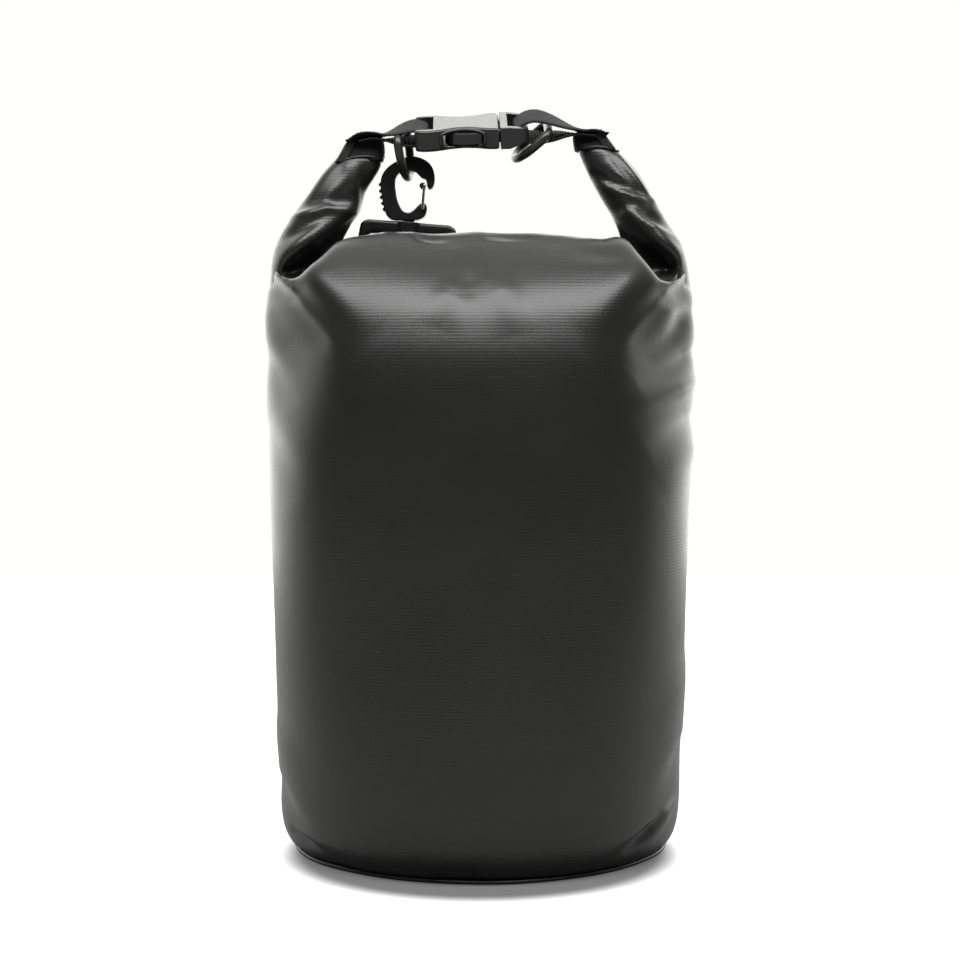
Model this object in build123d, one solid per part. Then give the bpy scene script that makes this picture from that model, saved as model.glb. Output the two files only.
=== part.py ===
from build123d import *

# Roll-top dry bag of about 10 litres, rolled shut and clipped into a carrying handle.
# Millimetres. +Z is up, +X is to the right of the front face, and the front faces -Y.
# The origin is the centre of the base, on the surface that the bag stands on.
# One coated-fabric tube is closed by a round base. Its mouth is rolled down flat between the two
# shoulders, and both ends of the roll bend up and are clipped together by a side-release buckle.

import os
from math import cos, pi, sin, sqrt

os.makedirs("parts", exist_ok=True)

# ---------------------------------------------------------------- the filled bag
FABRIC = 0.8                  # coated fabric of the tube and the base
GAP = 0.3                     # kept between pieces that are free of each other
BASE_RADIUS = 92.0            # where the wall leaves the surface it stands on
RIDGE_Z = 298.3               # top of the front and back shoulders
TROUGH_RADIUS = 36.0          # round valley between the shoulders, which holds the roll
TROUGH_Z = 309.5              # height of the valley's axis
BASE_RIM = 12.0               # height of the base panel's upturned rim
BASE_RIM_RADIUS = 96.4

# height, half-width and half-depth of the filled tube
TUBE_SECTIONS = [
    (0.0, BASE_RADIUS, BASE_RADIUS),
    (12.0, 98.0, 98.0),
    (45.0, 100.0, 99.5),
    (110.0, 102.0, 97.8),
    (180.0, 104.0, 95.8),
    (232.0, 106.0, 94.0),
    (262.0, 105.0, 86.5),
    (281.0, 102.0, 72.0),
    (292.5, 95.0, 55.0),
    (RIDGE_Z, 82.0, 38.0),
]

# ---------------------------------------------------------------- the rolled mouth
ROLL_Z = 280.1
ROLL_LENGTH = 145.0
ROLL_WIDTH = 34.0
ROLL_THICK = 10.4
STIFFENER_LENGTH = 126.0
STIFFENER_WIDTH = 19.0
STIFFENER_THICK = 1.0
STIFFENER_SPACING = 2.4

# height, distance out from the middle, half-width in X and half-depth in Y of a bent-up end
ARM_SECTIONS = [
    (276.2, 87.5, 13.4, 11.0),
    (284.0, 87.0, 15.8, 14.5),
    (296.0, 85.4, 15.4, 16.0),
    (304.0, 82.4, 14.8, 15.6),
    (313.0, 76.6, 14.4, 14.0),
    (322.0, 71.0, 13.8, 12.0),
    (331.0, 66.2, 13.2, 10.0),
    (339.0, 61.6, 12.2, 8.2),
]
# the folded edge of the mouth, with the webbing sewn into it, where it leaves the roll
BAND_SECTIONS = [
    (339.2, 61.4, 11.2, 7.6),
    (344.5, 60.0, 9.8, 6.6),
    (349.0, 58.0, 6.2, 5.4),
]

# ---------------------------------------------------------------- webbing and its buckle
# The buckle's own frame: x runs along it, y across it and z through it.
WEBBING_WIDTH = 25.0
WEBBING_THICK = 1.5
BUCKLE_Z = 353.4
BUCKLE_ROLL = 21.0            # front edge down
BUCKLE_PITCH = -2.5           # plug end up
BUCKLE_WIDTH = 34.0
BUCKLE_THICK = 10.5
BUCKLE_EDGE = 1.4             # rounding of the outer edges
SOCKET_END = -32.0
SOCKET_WAIST_X = -8.5
SOCKET_WAIST = 24.0           # width between the two finger scallops
SOCKET_MOUTH = 9.2
PLUG_FACE = 9.7
PLUG_END = 23.6
PLUG_END_WIDTH = 27.0
SLOT_WIDTH = WEBBING_WIDTH + 0.8
BAR_HALF = 2.2                # half-thickness of the bars that the webbing goes round
CAVITY_HEIGHT = 6.6
CAVITY_WIDTH = 28.4
CAVITY_END = -19.6
PRONG_THICK = 5.8
PRONG_PIVOT = (10.8, 10.4)
PRONG_ROOT = 1.5
WRAP = 3.25                   # from the bar's middle to the webbing's middle, above and below
BEND = 1.5                    # radius of the webbing's middle round a bar

# ---------------------------------------------------------------- rings and hook
RING_WIRE = 4.4
RING_RADIUS = 15.2            # of the wire's centre line
RING_CORNER = 4.0
RING_LEG = 6.6                # from the bar to the centre of the round end
LEFT_RING_BAR = (-38.8, 0.0, 352.4)
LEFT_RING_TURN = (18.0, -9.0, -6.0)
RIGHT_RING_BAR = (33.6, 0.0, 354.9)
RIGHT_RING_TURN = (18.0, 48.0, 0.0)

HOOK_THICK = 7.0
HOOK_RADIUS = 13.6            # outside of the eye
EYE_RADIUS = 6.8
EYE_GAP = 0.9                 # between the ring's wire and the roof of the eye
GATE_WIRE = 1.6
GATE_LENGTH = 11.4
TOOTH = 1.0
LOOP_LENGTH = 49.0
LOOP_HEIGHT = 15.6
LOOP_DEPTH = 8.0
LOOP_BAR = 4.6
LOOP_TILT = 4.5               # right end down
HUB_RADIUS = 6.6
HUB_DROP = 18.7               # from the middle of the eye to the top of the loop
HUB_ASIDE = -0.2
STEM_RADIUS = 2.6
STEM_HEAD_RADIUS = 4.2
STEM_HEAD = 1.8


def lofted(sections, grow=0.0, side=0):
    """A smooth loft through level ellipses, grown outward by a distance, with their centres to one side."""
    faces = []
    for section in sections:
        height, half_width, half_depth = section[0], section[-2], section[-1]
        centre = side * section[1] if side else 0.0
        faces.append(Pos(centre, 0, height) * Ellipse(half_width + grow, half_depth + grow))
    return loft(faces)


def upright(outline, width):
    """A flat outline drawn in X and Z, given an equal thickness to the front and the back."""
    return extrude(Plane.XZ * outline, width / 2, both=True)


def block(x_range, y_range, z_range):
    size = [high - low for low, high in (x_range, y_range, z_range)]
    middle = [(high + low) / 2 for low, high in (x_range, y_range, z_range)]
    return Pos(*middle) * Box(*size)


def save(shape, name):
    solids = shape.solids()
    piece = Compound(children=list(solids)) if len(solids) > 1 else solids[0]
    export_step(piece, f"parts/{name}.step")


# ---------------------------------------------------------------- bag
def trough(grow=0.0):
    return Pos(0, 0, TROUGH_Z) * Rot(0, 90, 0) * Cylinder(TROUGH_RADIUS - grow, 400)


def filled_bag(inset):
    """The space inside a skin that lies an inset within the outside of the bag."""
    sections = [row for row in TUBE_SECTIONS if row[0] < RIDGE_Z]
    top = (RIDGE_Z - inset, TUBE_SECTIONS[-1][1], TUBE_SECTIONS[-1][2])
    return lofted(sections + [top], -inset) - trough(-inset)


def bag_tube():
    inside = filled_bag(FABRIC)
    base_opening = Pos(0, 0, -1) * Cylinder(BASE_RADIUS - FABRIC, 4)
    return filled_bag(0.0) - inside - base_opening


def base_panel():
    """A round panel whose rim turns up inside the tube, where the two are welded together."""
    low, high = BASE_RADIUS - FABRIC - GAP, BASE_RIM_RADIUS
    cup = Cone(low, high, BASE_RIM, align=(Align.CENTER, Align.CENTER, Align.MIN))
    room = Cone(low - FABRIC, high - FABRIC, BASE_RIM, align=(Align.CENTER, Align.CENTER, Align.MIN))
    return cup - Pos(0, 0, FABRIC) * room


def stiffener(side):
    """One of the two flexible strips welded along the mouth, one on each side of it."""
    height = ROLL_Z + side * STIFFENER_SPACING / 2
    return Pos(0, 0, height) * Box(STIFFENER_LENGTH, STIFFENER_WIDTH, STIFFENER_THICK)


def rolled_mouth(strips, arms):
    section = Plane.YZ * Ellipse(ROLL_WIDTH / 2, ROLL_THICK / 2)
    roll = extrude(section, ROLL_LENGTH / 2, both=True)
    roll = Pos(0, 0, ROLL_Z) * roll
    for piece in strips + arms:
        roll -= piece
    return roll.solids().sort_by(SortBy.VOLUME)[-1]


# ---------------------------------------------------------------- buckle
def on_buckle(shape):
    return Pos(0, 0, BUCKLE_Z) * Rot(0, BUCKLE_PITCH, 0) * Rot(BUCKLE_ROLL, 0, 0) * shape


def mirrored_outline(points):
    """A smooth-sided plan, symmetrical about the buckle's length, from its points at one side."""
    first, last = points[0], points[-1]
    upper = Spline(*points)
    lower = Spline(*[(x, -y) for x, y in points])
    start = Line((first[0], -first[1]), first)
    end = Line((last[0], -last[1]), last)
    return make_face(Curve() + [upper, lower, start, end])


def bar_pockets(x_from, x_to):
    """The room above and below a bar for the webbing that goes round it."""
    across = (-SLOT_WIDTH / 2, SLOT_WIDTH / 2)
    above = block((x_from, x_to), across, (BAR_HALF, BUCKLE_THICK))
    below = block((x_from, x_to), across, (-BUCKLE_THICK, -BAR_HALF))
    return above + below


def buckle_socket():
    half = BUCKLE_WIDTH / 2
    points = [
        (SOCKET_END, half - 2.4),
        (-28.5, half - 0.3),
        (-24.0, half),
        (-17.0, half - 2.2),
        (SOCKET_WAIST_X, SOCKET_WAIST / 2),
        (-0.5, half - 2.2),
        (4.5, half),
        (SOCKET_MOUTH, half),
    ]
    body = extrude(mirrored_outline(points), BUCKLE_THICK / 2, both=True)
    body = fillet(body.faces().sort_by(Axis.Z)[-1].edges(), BUCKLE_EDGE)
    body = fillet(body.faces().sort_by(Axis.Z)[0].edges(), BUCKLE_EDGE)
    cavity = block((CAVITY_END, SOCKET_MOUTH + 1), (-CAVITY_WIDTH / 2, CAVITY_WIDTH / 2),
                   (-CAVITY_HEIGHT / 2, CAVITY_HEIGHT / 2))
    windows = block((CAVITY_END + 1.4, 1.4), (-BUCKLE_WIDTH, BUCKLE_WIDTH),
                    (-CAVITY_HEIGHT / 2, CAVITY_HEIGHT / 2))
    slot = block((-27.0, -23.0), (-SLOT_WIDTH / 2, SLOT_WIDTH / 2), (-BUCKLE_THICK, BUCKLE_THICK))
    return on_buckle(body - cavity - windows - slot - bar_pockets(SOCKET_END - 1, -26.9))


def buckle_plug():
    half = BUCKLE_WIDTH / 2
    points = [
        (PLUG_FACE, half),
        (14.0, half),
        (19.0, half - 0.6),
        (22.0, half - 2.0),
        (PLUG_END, PLUG_END_WIDTH / 2),
    ]
    plan = extrude(mirrored_outline(points), BUCKLE_THICK / 2, both=True)
    side = Polyline(
        (PLUG_FACE, -BUCKLE_THICK / 2), (14.5, -BUCKLE_THICK / 2), (PLUG_END, -BAR_HALF),
        (PLUG_END, BUCKLE_THICK / 2 - 1.2), (14.5, BUCKLE_THICK / 2), (PLUG_FACE, BUCKLE_THICK / 2),
        close=True)
    body = plan & upright(make_face(side), 2 * BUCKLE_WIDTH)
    slot = block((13.6, 18.4), (-SLOT_WIDTH / 2, SLOT_WIDTH / 2), (-BUCKLE_THICK, BUCKLE_THICK))
    body = body - slot - bar_pockets(18.3, PLUG_END + 1)
    for sign in (-1, 1):
        pivot = Pos(PRONG_PIVOT[0], sign * PRONG_PIVOT[1], 0)
        body -= pivot * Box(2 * PRONG_ROOT + 1.2, 2 * PRONG_ROOT + 1.2, CAVITY_HEIGHT)
        body -= pivot * Pos(-2, 0, 0) * Box(4, 2 * PRONG_ROOT + 1.2, CAVITY_HEIGHT)
    tongue = block((-15.0, PLUG_FACE + 0.5), (-2.8, 2.8), (-2.6, 2.6))
    tongue = fillet(tongue.edges().filter_by(Axis.Z).group_by(Axis.X)[0], 2.0)
    return on_buckle(body + tongue)


def buckle_prong(sign):
    """A springy side arm of the plug, whose button fills the socket's side window."""
    pivot_x, pivot_y = PRONG_PIVOT
    arm = Polyline(
        (pivot_x, pivot_y - PRONG_ROOT), (pivot_x, pivot_y + PRONG_ROOT), (3.0, 13.3), (0.9, 13.6),
        (0.9, 15.2), (-3.0, 15.9), (-8.5, 15.6), (-13.0, 14.2), (-16.6, 11.6), (-17.4, 9.4),
        (-15.4, 8.6), (-9.0, 10.4), (0.0, 9.6), close=True)
    outline = make_face(arm) + Pos(pivot_x, pivot_y) * Circle(PRONG_ROOT)
    prong = extrude(outline, PRONG_THICK / 2, both=True)
    if sign < 0:
        prong = mirror(prong, about=Plane.XZ)
    return on_buckle(prong)


# ---------------------------------------------------------------- webbing
def webbing_loop_path(upper, lower, slot_x):
    """A strap that comes in above a bar, goes down through its slot and back out below it."""
    over = FilletPolyline(upper[-1], (slot_x, WRAP), (slot_x, -WRAP), lower[0], radius=BEND)
    outline = trace(over, WEBBING_THICK)
    for layer in (upper, lower):
        outline += trace(Spline(*layer), WEBBING_THICK)
    return outline


def strap(upper, lower, slot_x, neighbours):
    loop = on_buckle(upright(webbing_loop_path(upper, lower, slot_x), WEBBING_WIDTH))
    for piece in neighbours:
        loop -= piece
    return loop.solids().sort_by(SortBy.VOLUME)[-1]


def strap_left(neighbours):
    upper = [(-66.0, -7.4), (-58.0, -3.2), (-50.0, 1.6), (-43.0, 4.6), (-37.0, 5.0), (-31.0, WRAP)]
    lower = [(-31.0, -WRAP), (-37.0, -4.6), (-43.0, -4.0), (-48.0, -1.4), (-52.0, -1.2),
             (-58.0, -4.9), (-64.0, -7.9)]
    return strap(upper, lower, -25.9, neighbours)


def strap_right(neighbours):
    upper = [(66.0, -12.0), (58.0, -6.4), (50.0, -0.6), (42.0, 4.8), (34.0, 7.0), (27.0, 6.6),
             (20.5, WRAP)]
    lower = [(20.5, -WRAP), (27.0, -4.9), (34.0, -5.1), (41.0, -2.6), (46.0, -0.2),
             (51.0, -3.1), (58.0, -8.2)]
    return strap(upper, lower, 17.1, neighbours)


# ---------------------------------------------------------------- rings
def d_ring(bar, turn):
    """A round wire bent to a D. It is drawn hanging from the middle of its straight bar."""
    top = RING_RADIUS - RING_CORNER
    path = [Line((-top, 0), (top, 0))]
    for side in (-1, 1):
        corner = (side * (top + RING_CORNER * sin(pi / 4)), -RING_CORNER * (1 - cos(pi / 4)))
        path.append(ThreePointArc((side * top, 0), corner, (side * RING_RADIUS, -RING_CORNER)))
        path.append(Line((side * RING_RADIUS, -RING_CORNER), (side * RING_RADIUS, -RING_LEG)))
    lowest = (0, -RING_LEG - RING_RADIUS)
    path.append(ThreePointArc((RING_RADIUS, -RING_LEG), lowest, (-RING_RADIUS, -RING_LEG)))
    ring = Part()
    for piece in path:
        edge = (Plane.YZ * piece).edge()
        section = Plane(origin=edge @ 0, z_dir=edge % 0) * Circle(RING_WIRE / 2)
        ring += sweep(section, path=edge)
    return Location(bar, turn) * ring


def ring_lowest(bar, turn):
    """The wire's centre at the lowest point of a ring's round end, where the hook hangs."""
    place = Location(bar, turn)
    plane = Plane(place)
    centre = Vector(*bar) - plane.z_dir * RING_LEG
    across, down = plane.y_dir, plane.z_dir * -1
    fall = across * -across.Z + down * -down.Z
    return centre + fall.normalized() * RING_RADIUS


# ---------------------------------------------------------------- snap hook
def hook_outline():
    """Drawn about the centre of the round eye: a closed C with its mouth on the right, and a broad foot."""
    foot = [Pos(-7.4, -15.6) * Circle(2.0), Pos(5.4, -15.6) * Circle(2.0), Pos(7.6, -11.0) * Circle(2.4)]
    body = make_hull((Circle(HOOK_RADIUS) + foot).edges())
    eye = make_hull((Circle(EYE_RADIUS) + Pos(-1.4, -8.6) * Circle(3.2)).edges())
    pivot = Pos(6.6, -12.2)
    mouth = (pivot * Circle(GATE_LENGTH + GATE_WIRE / 2 + GAP)) & (Pos(9.6, -2.9) * Rectangle(16.0, 8.4))
    stop = Pos(12.6, 0.6) * Rectangle(6.6, 5.0)
    outline = body - eye - (mouth - stop)
    for step in range(5):
        tooth = Pos(-HOOK_RADIUS + 0.25 + 0.55 * step, -1.0 - 2.3 * step) * Rot(0, 0, 12 + 5 * step)
        outline += tooth * RegularPolygon(TOOTH, 3)
    return outline


def hook_body(eye_centre, hub_place):
    body = Pos(*eye_centre) * upright(hook_outline(), HOOK_THICK)
    pin_hole = Pos(*eye_centre) * Pos(6.6, 0, -12.2) * Rot(90, 0, 0) * Cylinder(GATE_WIRE / 2 + 0.15, 20)
    stem = Pos(0, 0, -3.2) * Cylinder(STEM_RADIUS, 8.4)
    head = Pos(0, 0, -7.2) * Cylinder(STEM_HEAD_RADIUS, STEM_HEAD)
    return body - pin_hole + hub_place * (stem + head)


def hook_gate(eye_centre):
    """A closed loop of spring wire. Its lower bar turns in the hook's foot, its upper bar meets the nose."""
    reach = HOOK_THICK / 2 + GAP + GATE_WIRE / 2
    lower = Vector(6.6, 0, -12.2)
    upper = lower + Vector(0.9, 0, sqrt(GATE_LENGTH**2 - 0.9**2))
    corners = [lower + Vector(0, reach, 0), upper + Vector(0, reach, 0),
               upper - Vector(0, reach, 0), lower - Vector(0, reach, 0)]
    gate = Part()
    for start, end in zip(corners, corners[1:] + corners[:1]):
        run = end - start
        middle = (start + end) * 0.5
        gate += Plane(origin=middle, z_dir=run) * Cylinder(GATE_WIRE / 2, run.length)
        gate += Pos(*start) * Sphere(GATE_WIRE / 2)
    return Pos(*eye_centre) * gate


def webbing_loop(hub_place):
    """The wide flat ring under the hook, which turns on the hook's stem. Its top is at its frame's zero."""
    frame = Pos(0, 0, -LOOP_HEIGHT / 2)
    outer = RectangleRounded(LOOP_LENGTH, LOOP_HEIGHT, 5.4)
    inner = RectangleRounded(LOOP_LENGTH - 2 * LOOP_BAR, LOOP_HEIGHT - 2 * LOOP_BAR, 2.2)
    ring = frame * upright(outer - inner, LOOP_DEPTH)
    ring = fillet(ring.edges().filter_by(lambda edge: abs(edge.center().Y) > LOOP_DEPTH / 2 - 0.01), 1.6)
    hub = Pos(0, 0, -LOOP_BAR / 2) * Cylinder(HUB_RADIUS, LOOP_BAR)
    bore = Pos(0, 0, -LOOP_BAR / 2) * Cylinder(STEM_RADIUS + GAP, LOOP_BAR + 2)
    return hub_place * (ring + hub - bore)


# ---------------------------------------------------------------- assembly
arms = [lofted(ARM_SECTIONS, side=side) for side in (-1, 1)]
bands = [lofted(BAND_SECTIONS, side=side) for side in (-1, 1)]
strips = [stiffener(side) for side in (-1, 1)]
hang = ring_lowest(LEFT_RING_BAR, LEFT_RING_TURN)
eye_centre = hang + Vector(1.0, 0, RING_WIRE / 2 + EYE_GAP - EYE_RADIUS)
hub_place = Pos(eye_centre.X + HUB_ASIDE, eye_centre.Y, eye_centre.Z - HUB_DROP) * Rot(0, LOOP_TILT, 0)

if __name__ == "__main__":
    save(bag_tube(), "bag_tube")
    save(base_panel(), "base_panel")
    save(rolled_mouth(strips, arms), "rolled_mouth")
    for name, piece in zip(("stiffener_lower", "stiffener_upper"), strips):
        save(piece, name)
    for name, piece in zip(("rolled_end_left", "rolled_end_right"), arms):
        save(piece, name)
    for name, piece in zip(("mouth_band_left", "mouth_band_right"), bands):
        save(piece, name)
    save(strap_left([arms[0], bands[0]]), "strap_left")
    save(strap_right([arms[1], bands[1]]), "strap_right")
    save(buckle_socket(), "buckle_socket")
    save(buckle_plug(), "buckle_plug")
    save(buckle_prong(-1), "prong_front")
    save(buckle_prong(1), "prong_rear")
    save(d_ring(LEFT_RING_BAR, LEFT_RING_TURN), "d_ring_left")
    save(d_ring(RIGHT_RING_BAR, RIGHT_RING_TURN), "d_ring_right")
    save(hook_body(eye_centre, hub_place), "hook_body")
    save(hook_gate(eye_centre), "hook_gate")
    save(webbing_loop(hub_place), "webbing_loop")
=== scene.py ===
"""Looks of a filled roll-top dry bag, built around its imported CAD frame. Shapes are given in millimetres."""
from math import cos, pi, radians, sin, sqrt

import bpy
import numpy as np
from mathutils import Matrix, Vector, noise
from mathutils.bvhtree import BVHTree


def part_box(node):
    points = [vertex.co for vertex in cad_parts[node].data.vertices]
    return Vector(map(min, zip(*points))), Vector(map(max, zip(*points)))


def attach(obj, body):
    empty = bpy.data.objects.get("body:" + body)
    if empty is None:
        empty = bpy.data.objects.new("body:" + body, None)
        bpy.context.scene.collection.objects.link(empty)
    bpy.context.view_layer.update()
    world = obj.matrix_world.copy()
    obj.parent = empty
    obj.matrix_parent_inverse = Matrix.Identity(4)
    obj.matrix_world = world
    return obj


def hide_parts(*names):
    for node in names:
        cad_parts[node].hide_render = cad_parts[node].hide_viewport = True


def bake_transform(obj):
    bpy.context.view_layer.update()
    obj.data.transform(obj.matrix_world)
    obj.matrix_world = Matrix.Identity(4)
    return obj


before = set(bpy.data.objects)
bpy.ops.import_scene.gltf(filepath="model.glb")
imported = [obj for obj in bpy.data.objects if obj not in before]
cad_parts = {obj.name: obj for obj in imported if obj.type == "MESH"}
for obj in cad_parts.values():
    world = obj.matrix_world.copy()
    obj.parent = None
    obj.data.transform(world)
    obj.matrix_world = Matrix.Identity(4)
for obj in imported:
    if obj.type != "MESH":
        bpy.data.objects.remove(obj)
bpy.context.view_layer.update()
MM = 0.001

# ---------------------------------------------------------------- the bag's shape
TROUGH_RADIUS = 36.0          # of the hollow that the roll lies in
TROUGH_Z = 309.5              # height of that hollow's axis
CARVED_ABOVE = 240.0          # the crest and the hollow shape only the fabric above this height
CREST_SOFTNESS = 2.6          # how round the crest's edge is
ARM_SQUARENESS = 1.8
FACET_SOFTNESS = 3.0          # how round the turn is from a flat corner into the fold that ends it
FACET_HEIGHTS = (180.0, 245.0)    # the flats grow from nothing to their full depth between these
# height, slope and start of each flat corner, half-width of the fold that ends it, softness of its edge
FACETS = [
    (180, 0.72, 126.0, 60, 7.0),
    (215, 0.72, 123.5, 60, 6.0),
    (235, 0.71, 121.0, 61, 4.5),
    (249, 0.70, 118.0, 67, 2.0),
    (257, 0.62, 116.0, 73, 1.2),
    (265, 0.55, 114.5, 82, 1.0),
    (272, 0.55, 113.0, 91, 1.0),
    (279, 0.56, 111.0, 99.5, 1.0),
    (290, 0.56, 110.0, 105, 1.0),
]
# x, z to x, z: the line, from the side inwards, below which the front of each bent-up end is tucked under
LEFT_TUCK = (-99.6, 285.0, -63.6, 310.5)
RIGHT_TUCK = (101.4, 287.0, 70.0, 308.0)
TUCK_DEPTH = 16.0
TUCK_RUN = 6.0                # how far below the line the tuck reaches its full depth
TUCK_END = 97.0               # half-width where the tuck ends
TUCK_FADE = 3.0               # how far inwards from there it takes to fade in
TUCK_FLOOR = (280.5, 284.5)   # it fades in between these heights too
BODY_VOXEL = 2.2
SHELL_VOXEL = 1.7
SCRIM_PITCH = 1.5             # spacing of the threads that show through the coating
THREADS_UP = 0.55             # height of the threads that run up the bag, with those round it as 1
THREAD_RELIEF = 0.009
MEAN_RADIUS = 98.0

# height, half-width, half-depth and squareness of the filled tube
BODY_SECTIONS = [
    (0.3, 60.0, 60.0, 2.0),
    (0.5, 88.0, 88.0, 2.0),
    (2.4, 90.4, 90.2, 2.0),
    (3.3, 93.4, 93.2, 2.0),
    (5.2, 95.2, 95.0, 2.0),
    (10.0, 97.6, 97.2, 2.0),
    (20.0, 99.2, 98.8, 2.0),
    (45.0, 100.2, 99.6, 2.0),
    (110.0, 102.4, 97.8, 2.0),
    (180.0, 104.4, 95.6, 2.05),
    (232.0, 106.0, 92.5, 2.15),
    (255.0, 105.8, 86.5, 2.3),
    (270.0, 105.0, 78.5, 2.5),
    (282.0, 103.4, 68.0, 2.8),
    (291.0, 101.4, 57.5, 3.1),
    (298.0, 98.6, 48.0, 3.4),
    (304.0, 94.0, 40.0, 3.4),
    (307.5, 80.0, 28.0, 3.0),
]

# distance from the middle and height of the front crest, which drops to the tuck beside each bent-up end
CREST = [
    (-110, 285.2), (-98, 284.6), (-94, 281.6), (-88, 279.6), (-83, 281.2), (-76, 287.8),
    (-69, 296.0), (-63, 298.8), (-55, 300.0), (-46, 302.0), (-30, 301.7), (-18, 301.6), (-5, 302.1),
    (4, 302.4), (27, 302.2), (40, 300.8), (48, 299.2), (58, 298.0), (66, 300.0), (70.7, 297.6),
    (77.3, 287.0), (84.7, 278.4), (90, 278.6), (95, 280.8), (99, 284.6), (110, 286.4),
]
BACK_CREST = [(-110, 296), (-92, 297), (-60, 299), (0, 300), (60, 299), (92, 297), (110, 296)]

# height, centre, half-width and half-depth of each bent-up end of the roll
LEFT_ARM = [
    (266.0, -95.2, 9.6, 15.0),
    (276.0, -95.0, 9.8, 17.0),
    (281.0, -93.8, 10.2, 18.0),
    (287.0, -90.4, 13.2, 19.5),
    (293.0, -87.2, 15.3, 20.0),
    (298.0, -84.9, 16.0, 20.0),
    (303.0, -82.4, 16.2, 19.0),
    (308.0, -79.4, 16.0, 18.0),
    (313.0, -76.0, 16.2, 16.6),
    (318.0, -73.2, 15.4, 14.8),
    (323.0, -70.6, 14.0, 13.4),
    (328.0, -67.4, 13.8, 12.4),
    (333.0, -64.0, 13.6, 11.2),
    (337.0, -61.2, 12.8, 10.0),
    (341.0, -59.2, 11.4, 8.4),
]
RIGHT_ARM = [
    (266.0, 95.4, 9.8, 15.0),
    (276.0, 94.8, 10.0, 17.0),
    (281.0, 93.6, 10.4, 18.0),
    (287.0, 90.0, 13.0, 19.4),
    (293.0, 87.2, 14.2, 20.0),
    (298.0, 85.0, 14.8, 19.6),
    (303.0, 82.8, 14.0, 18.4),
    (308.0, 80.0, 13.2, 17.0),
    (313.0, 77.2, 12.9, 16.0),
    (318.0, 74.1, 13.1, 14.8),
    (323.0, 71.2, 13.2, 13.6),
    (328.0, 68.5, 13.2, 12.6),
    (333.0, 65.6, 12.8, 11.6),
    (339.0, 61.6, 11.6, 9.8),
    (345.6, 57.0, 9.4, 7.6),
]
# middle in x and z, half-width, half-depth and slope of the hem round the tip of each bent-up end
LEFT_HEM = ((-59.8, 339.4), 12.4, 9.0, 0.11)
RIGHT_HEM = ((58.4, 344.4), 10.2, 8.2, -0.06)
ARM_HEM_RADIUS = 0.6
ARM_HEM_WAVE = 0.5

FOLD_START = 0.55             # share of its depth that a fading fold has where it starts
FOLD_RISE = 2.5               # how fast it deepens from there
FOLD_FADE = 0.9               # power that its depth fades by
FOLD_WIDTH = 0.75             # share of its width that it has where it starts
FOLD_WIDENING = 0.85          # and how much it has gained at its end
CREASE_START = 0.15           # where on a half-wave a crease's depth starts
CREASE_SPAN = 0.7             # and how much of the half-wave it goes through
SIDE_RISE = 0.3               # how high the fabric stands up at each side of a fold
FRONT_EDGE = 6.0              # the front's folds fade out from this far before the middle to as far behind
BACK_FOLDS = 0.8              # depth of the same folds on the back
ARM_HEIGHTS = (286.0, 294.0)  # the creases of the bent-up ends take over between these
ARM_HALF_DEPTH = 22.0
ARM_FACING = 1.4              # how far round towards the sides of an end its creases keep their depth
SLACK_SPANS = (52.0, 52.0, 84.0)    # size of the fabric's low unevenness
SLACK_DEPTH = 0.8
SLACK_FOOT = 30.0             # it grows to its full depth up to here
SLACK_TOP = (300.0, 240.0)    # and dies down from the second of these heights to the first
LEAST_SLACK = 0.1
# soft valleys (depth above 0) and ridges (below 0) that fade as they run: x, z to x, z, width, depth
FRONT_FOLDS = [
    (-95.0, 279.0, -54.0, 238.0, 8.0, 4.2),
    (-80.0, 284.0, -50.0, 250.0, 9.0, -1.2),
    (97.0, 278.0, 50.0, 236.0, 8.5, 4.6),
    (74.0, 284.0, 44.0, 254.0, 9.0, -1.2),
    (-5.4, 272.0, -7.0, 296.0, 6.5, 1.2),
    (9.0, 276.0, 15.0, 250.0, 7.5, -1.3),
    (-14.0, 272.0, -20.0, 254.0, 7.0, -1.0),
    (-28.0, 298.7, -4.0, 298.0, 3.6, 2.2),
    (4.0, 299.4, 52.0, 298.0, 4.0, 1.6),
    (62.0, 289.0, 24.0, 294.0, 6.0, 1.2),
    (102.0, 264.0, 70.0, 232.0, 6.0, 2.4),
    (104.0, 230.0, 60.0, 214.0, 5.5, -2.4),
    (105.0, 245.0, 74.0, 226.0, 5.5, 2.4),
    (106.0, 214.0, 78.0, 198.0, 6.0, 2.2),
    (108.0, 200.0, 84.0, 180.0, 6.5, -1.6),
    (92.0, 268.0, 80.0, 240.0, 6.0, -1.8),
    (-107.0, 246.0, -90.0, 216.0, 6.0, 1.8),
    (-107.0, 264.0, -92.0, 248.0, 7.0, -0.7),
    (-104.0, 208.0, -86.0, 172.0, 8.0, 1.6),
    (-90.0, 13.0, -56.0, 2.0, 3.4, 3.0),
    (-99.0, 34.0, -80.0, 8.0, 5.5, 2.2),
    (-99.0, 60.0, -82.0, 22.0, 8.0, -1.4),
    (86.0, 21.0, 54.0, 3.0, 3.2, 3.4),
    (94.0, 26.0, 74.0, 8.0, 3.2, -1.6),
    (99.0, 52.0, 86.0, 20.0, 6.5, 2.0),
    (100.0, 90.0, 88.0, 40.0, 9.0, -1.4),
    (-20.0, 5.0, 4.0, 5.0, 3.5, 1.0),
]
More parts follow.
